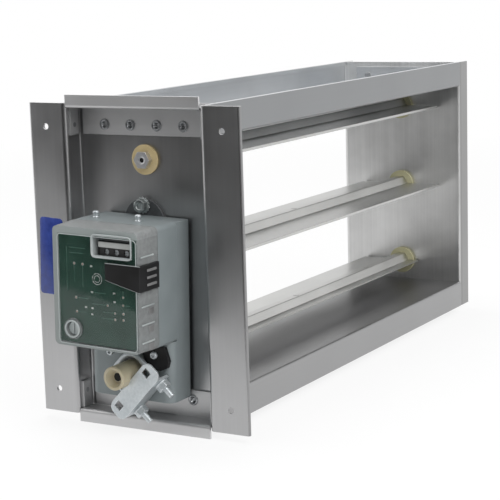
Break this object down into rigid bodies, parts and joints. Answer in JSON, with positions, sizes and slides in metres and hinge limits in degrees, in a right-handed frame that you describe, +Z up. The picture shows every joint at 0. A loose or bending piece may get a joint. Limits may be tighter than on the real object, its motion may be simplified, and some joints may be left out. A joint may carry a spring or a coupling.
{
  "type": "motorized duct damper",
  "caption": "Slide-in rectangular duct damper: flanged aluminium frame, parallel blades on hex axles joined by a tie bar, and a geared electric actuator on the drive axle.",
  "frame": {"origin": "middle of the mounting flange's front face, at the centre of its screw holes, on the middle axle's line", "axes": "+X along the axles from the flange into the duct, +Y with the air flow, +Z up"},
  "size_m": [0.5762, 0.196, 0.2672],
  "materials": {
    "frame_sheet": "mill-finish rolled sheet",
    "blade_sheet": "bright rolled sheet",
    "rivet": "bright",
    "axle_steel": "drawn bar",
    "zinc_steel": "zinc plated",
    "gear_steel": "sintered",
    "gear_plastic": "moulded",
    "nylon": "natural moulded nylon",
    "grey_housing": "fine moulded",
    "clear_cover": "clear moulded plastic",
    "white_screw": "moulded",
    "board": "green solder resist",
    "terminal_grey": "moulded",
    "black_plastic": "moulded"
  },
  "bodies": {
    "frame": {"near_jamb": "frame_sheet", "end_cap_top": "frame_sheet", "end_cap_bottom": "frame_sheet", "head_channel": "frame_sheet", "sill_channel": "frame_sheet", "far_jamb": "frame_sheet", "frame_rivets": "rivet", "actuator_base": "grey_housing", "actuator_body": "grey_housing", "actuator_cover": "clear_cover", "cover_screw": "white_screw", "circuit_board": "board", "board_parts": "black_plastic", "terminal_block": "terminal_grey", "terminal_screws": "zinc_steel", "wire_boot": "black_plastic", "motor_can": "axle_steel", "idler_pin": "axle_steel", "end_stop": "black_plastic", "end_stop_screws": "zinc_steel", "anti_rotation_tab": "zinc_steel", "tab_screw": "zinc_steel"},
    "drive_blade": {"axle_bottom": "axle_steel", "blade_bottom": "blade_sheet", "blade_rivets_bottom": "rivet", "near_bush_bottom": "nylon", "far_bush_bottom": "nylon", "crank_bottom": "zinc_steel", "axle_hub": "nylon", "output_gear": "gear_steel", "u_bolt": "zinc_steel", "clamp_yoke": "zinc_steel", "clamp_nuts": "zinc_steel"},
    "middle_blade": {"axle_middle": "axle_steel", "blade_middle": "blade_sheet", "blade_rivets_middle": "rivet", "near_bush_middle": "nylon", "far_bush_middle": "nylon", "crank_middle": "zinc_steel"},
    "top_blade": {"axle_top": "axle_steel", "blade_top": "blade_sheet", "blade_rivets_top": "rivet", "near_bush_top": "nylon", "far_bush_top": "nylon", "crank_top": "zinc_steel"},
    "tie_bar": {"tie_bar": "zinc_steel"},
    "idler": {"idler_gear": "gear_plastic"},
    "pinion": {"motor_pinion": "gear_steel"}
  },
  "joints": [
    {"name": "drive_turn", "type": "hinge", "parent": "frame", "child": "drive_blade", "pos_m": [0, 0, -0.082], "axis": [1, 0, 0], "range_deg": [0, 86]},
    {"name": "middle_turn", "type": "hinge", "parent": "frame", "child": "middle_blade", "pos_m": [0, 0, 0], "axis": [1, 0, 0], "range_deg": [0, 86]},
    {"name": "top_turn", "type": "hinge", "parent": "frame", "child": "top_blade", "pos_m": [0, 0, 0.082], "axis": [1, 0, 0], "range_deg": [0, 86]},
    {"name": "tie_bar_pivot", "type": "hinge", "parent": "drive_blade", "child": "tie_bar", "pos_m": [0.5092, 0.01097, -0.09223], "axis": [1, 0, 0], "range_deg": [-86, 0]},
    {"name": "idler_spin", "type": "hinge", "parent": "frame", "child": "idler", "pos_m": [0.005, -0.00067, -0.05801], "axis": [1, 0, 0], "range_deg": [-258, 0]},
    {"name": "pinion_spin", "type": "hinge", "parent": "frame", "child": "pinion", "pos_m": [0.01, -0.0012, -0.03902], "axis": [1, 0, 0], "range_deg": [0, 722.4]}
  ],
  "couplings": [
    {"joint": "middle_turn", "follows": "drive_turn", "ratio": 1},
    {"joint": "top_turn", "follows": "drive_turn", "ratio": 1},
    {"joint": "tie_bar_pivot", "follows": "drive_turn", "ratio": -1},
    {"joint": "idler_spin", "follows": "drive_turn", "ratio": -3},
    {"joint": "pinion_spin", "follows": "drive_turn", "ratio": 8.4}
  ]
}
